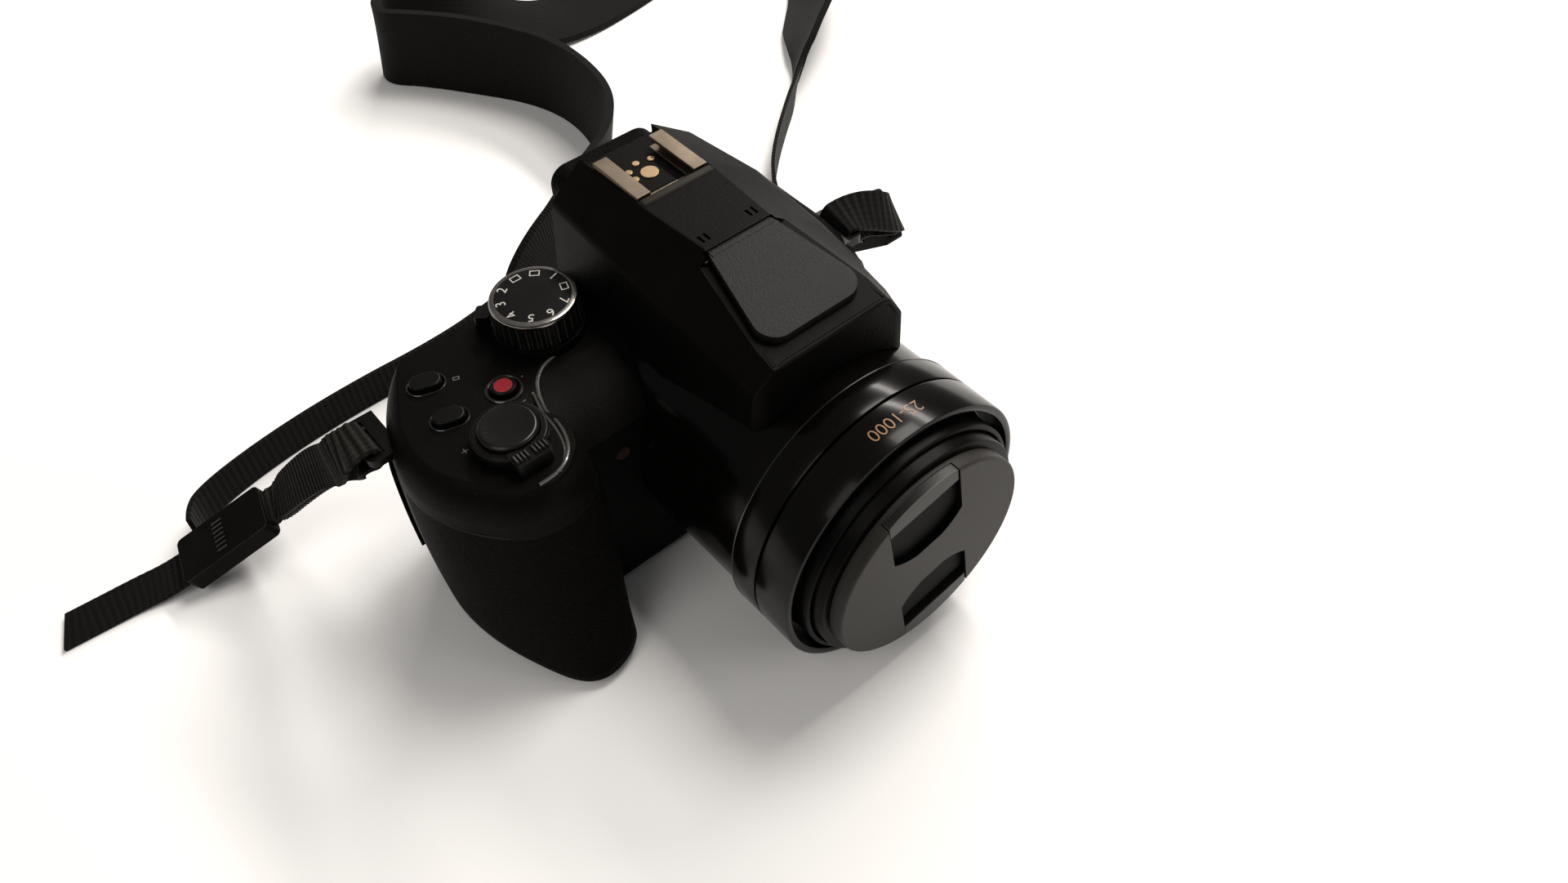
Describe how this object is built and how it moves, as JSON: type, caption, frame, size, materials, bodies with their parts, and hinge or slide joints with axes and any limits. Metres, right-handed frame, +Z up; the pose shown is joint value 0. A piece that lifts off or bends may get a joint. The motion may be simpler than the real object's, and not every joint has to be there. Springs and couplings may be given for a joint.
{
  "type": "bridge camera",
  "caption": "Bridge camera with a capped zoom lens that extends, pop-up flash, mode dial, accessory shoe, textured grip, battery door and a neck strap looped behind it.",
  "frame": {"origin": "middle of the camera's bounding box without the strap, on the base plate's underside", "axes": "+Z up; the lens looks along -Y; +X points to the side away from the hand grip"},
  "size_m": [0.3807, 0.3352, 0.0943],
  "materials": {
    "body_plastic": "fine-textured matte black",
    "grip_rubber": "leather-like textured rubber",
    "flash_panel": "satin dark grey",
    "flash_window": "ribbed clear",
    "flash_tube": "clear glass tube",
    "steel": "plain steel",
    "shoe_steel": "warm brushed sheet metal",
    "contact_gold": "gold-plated",
    "control_plastic": "satin black",
    "shutter_metal": "turned and black anodised",
    "movie_red": "red with a dark ring",
    "viewfinder_glass": "coated eyepiece glass",
    "screen_glass": "dark window",
    "display": "dark display",
    "lens_gloss": "polished black",
    "zoom_barrel": "satin black",
    "lens_glass": "coated optical glass",
    "lens_cell": "matte black cell",
    "sensor": "sensor chip on its carrier",
    "circuit_board": "green board with black chips",
    "battery": "dark grey case",
    "memory_card": "dark blue case",
    "latch_plastic": "grey slide",
    "socket_steel": "stamped sockets",
    "lug_steel": "polished metal",
    "lamp_lens": "clear lamp window",
    "cap_plastic": "warm dark grey",
    "latch_black": "ribbed dark grey",
    "webbing": "ribbed black webbing",
    "pad_fabric": "woven black pad",
    "slider_plastic": "black plastic"
  },
  "bodies": {
    "camera_body": {"af_lamp": "lamp_lens", "base_screws": "steel", "eyecup": "grip_rubber", "flash_hinge_pin": "steel", "front_cover": "body_plastic", "front_ring": "lens_gloss", "grip_rubber": "grip_rubber", "hot_shoe_contacts": "contact_gold", "hot_shoe_rails": "shoe_steel", "lens_base": "lens_gloss", "main_board": "circuit_board", "port_sockets": "socket_steel", "rear_cover": "body_plastic", "rear_lens_group": "lens_cell", "rear_ring": "lens_gloss", "screen_glass": "screen_glass", "screen_panel": "display", "sensor_unit": "sensor", "strap_loop_left": "webbing", "strap_loop_right": "webbing", "strap_lugs": "lug_steel", "strap_pad": "pad_fabric", "strap_run_left": "webbing", "strap_run_right": "webbing", "strap_sliders": "slider_plastic", "strap_tail_right": "webbing", "thumb_rubber": "grip_rubber", "top_cover": "body_plastic", "tripod_bush": "steel", "viewfinder_unit": "viewfinder_glass"},
    "flash": {"flash_head": "flash_panel", "flash_window": "flash_window", "flash_tube": "flash_tube"},
    "outer_zoom": {"outer_barrel": "zoom_barrel"},
    "inner_zoom": {"inner_barrel": "zoom_barrel", "front_lens": "lens_glass"},
    "cap": {"lens_cap": "cap_plastic"},
    "upper_pinch": {"cap_latch_upper": "latch_black"},
    "lower_pinch": {"cap_latch_lower": "latch_black"},
    "dial": {"mode_dial": "control_plastic"},
    "switch": {"power_lever": "control_plastic"},
    "shutter": {"shutter_button": "shutter_metal"},
    "zoom": {"zoom_lever": "control_plastic"},
    "movie": {"movie_button": "movie_red"},
    "burst": {"burst_button": "control_plastic"},
    "focus": {"focus_button": "control_plastic"},
    "thumb_wheel": {"rear_dial": "control_plastic"},
    "diopter": {"diopter_dial": "control_plastic"},
    "playback": {"playback_button": "control_plastic"},
    "lock": {"lock_button": "control_plastic"},
    "display": {"display_button": "control_plastic"},
    "return": {"return_button": "control_plastic"},
    "view": {"view_button": "control_plastic"},
    "pad": {"direction_pad": "control_plastic"},
    "set": {"set_button": "control_plastic"},
    "door": {"battery_door": "body_plastic"},
    "door_latch": {"battery_latch": "latch_plastic"},
    "power_cell": {"battery": "battery"},
    "card": {"memory_card": "memory_card"},
    "side_door": {"port_door": "body_plastic"}
  },
  "joints": [
    {"name": "flash_lift", "type": "hinge", "parent": "camera_body", "child": "flash", "pos_m": [0.02, 0.0036, 0.0912], "axis": [-1, 0, 0], "range_deg": [0, 52]},
    {"name": "outer_extend", "type": "slide", "parent": "camera_body", "child": "outer_zoom", "axis": [0, -1, 0], "range_m": [0, 0.028]},
    {"name": "inner_extend", "type": "slide", "parent": "outer_zoom", "child": "inner_zoom", "axis": [0, -1, 0], "range_m": [0, 0.0301]},
    {"name": "cap_remove", "type": "slide", "parent": "inner_zoom", "child": "cap", "axis": [0, -1, 0], "range_m": [0, 0.02]},
    {"name": "upper_pinch_slide", "type": "slide", "parent": "cap", "child": "upper_pinch", "axis": [0.1736, 0, -0.9848], "range_m": [0, 0.0022], "stiffness_N_per_m": 900},
    {"name": "lower_pinch_slide", "type": "slide", "parent": "cap", "child": "lower_pinch", "axis": [-0.1736, 0, 0.9848], "range_m": [0, 0.0022], "stiffness_N_per_m": 900},
    {"name": "dial_turn", "type": "hinge", "parent": "camera_body", "child": "dial", "pos_m": [-0.0173, 0.0375, 0.07], "axis": [0, 0, 1], "continuous": true},
    {"name": "switch_turn", "type": "hinge", "parent": "camera_body", "child": "switch", "pos_m": [-0.0173, 0.0375, 0.066], "axis": [0, 0, 1], "range_deg": [0, 28]},
    {"name": "shutter_press", "type": "slide", "parent": "camera_body", "child": "shutter", "axis": [0, 0, -1], "range_m": [0, 0.001], "stiffness_N_per_m": 900},
    {"name": "zoom_turn", "type": "hinge", "parent": "camera_body", "child": "zoom", "pos_m": [-0.0421, 0.0113, 0.066], "axis": [0, 0, 1], "range_deg": [-18, 18], "stiffness_Nm_per_rad": 0.06},
    {"name": "movie_press", "type": "slide", "parent": "camera_body", "child": "movie", "axis": [0, 0, -1], "range_m": [0, 0.0008], "stiffness_N_per_m": 800},
    {"name": "burst_press", "type": "slide", "parent": "camera_body", "child": "burst", "axis": [0, 0, -1], "range_m": [0, 0.0008], "stiffness_N_per_m": 800},
    {"name": "focus_press", "type": "slide", "parent": "camera_body", "child": "focus", "axis": [0, 0, -1], "range_m": [0, 0.0008], "stiffness_N_per_m": 800},
    {"name": "thumb_wheel_turn", "type": "hinge", "parent": "camera_body", "child": "thumb_wheel", "pos_m": [-0.039, 0.045, 0.0594], "axis": [0, 0, 1], "continuous": true},
    {"name": "diopter_turn", "type": "hinge", "parent": "camera_body", "child": "diopter", "pos_m": [0.0415, 0.0535, 0.0785], "axis": [0, 1, 0], "range_deg": [-120, 120]},
    {"name": "playback_press", "type": "slide", "parent": "camera_body", "child": "playback", "axis": [0, -1, 0], "range_m": [0, 0.0005], "stiffness_N_per_m": 800},
    {"name": "lock_press", "type": "slide", "parent": "camera_body", "child": "lock", "axis": [0, -1, 0], "range_m": [0, 0.0005], "stiffness_N_per_m": 800},
    {"name": "display_press", "type": "slide", "parent": "camera_body", "child": "display", "axis": [0, -1, 0], "range_m": [0, 0.0005], "stiffness_N_per_m": 800},
    {"name": "return_press", "type": "slide", "parent": "camera_body", "child": "return", "axis": [0, -1, 0], "range_m": [0, 0.0005], "stiffness_N_per_m": 800},
    {"name": "pad_press", "type": "slide", "parent": "camera_body", "child": "pad", "axis": [0, -1, 0], "range_m": [0, 0.0005], "stiffness_N_per_m": 800},
    {"name": "set_press", "type": "slide", "parent": "camera_body", "child": "set", "axis": [0, -1, 0], "range_m": [0, 0.0005], "stiffness_N_per_m": 800},
    {"name": "view_press", "type": "slide", "parent": "camera_body", "child": "view", "axis": [0, -1, 0], "range_m": [0, 0.0004], "stiffness_N_per_m": 800},
    {"name": "door_open", "type": "hinge", "parent": "camera_body", "child": "door", "pos_m": [-0.0322, 0.0235, 0.0012], "axis": [0, -1, 0], "range_deg": [0, 90]},
    {"name": "door_latch_slide", "type": "slide", "parent": "door", "child": "door_latch", "axis": [1, 0, 0], "range_m": [0, 0.002]},
    {"name": "battery_eject", "type": "slide", "parent": "camera_body", "child": "power_cell", "axis": [0, 0, -1], "range_m": [0, 0.005]},
    {"name": "card_push", "type": "slide", "parent": "camera_body", "child": "card", "axis": [0, 0, 1], "range_m": [0, 0.001], "stiffness_N_per_m": 600},
    {"name": "side_door_open", "type": "hinge", "parent": "camera_body", "child": "side_door", "pos_m": [0.0644, 0.0314, 0.032], "axis": [0, 0, -1], "range_deg": [0, 95]}
  ],
  "couplings": [
    {"joint": "inner_extend", "follows": "outer_extend", "ratio": 1.0714},
    {"joint": "door_open", "follows": "battery_eject", "rad_per_m": 314.16}
  ]
}
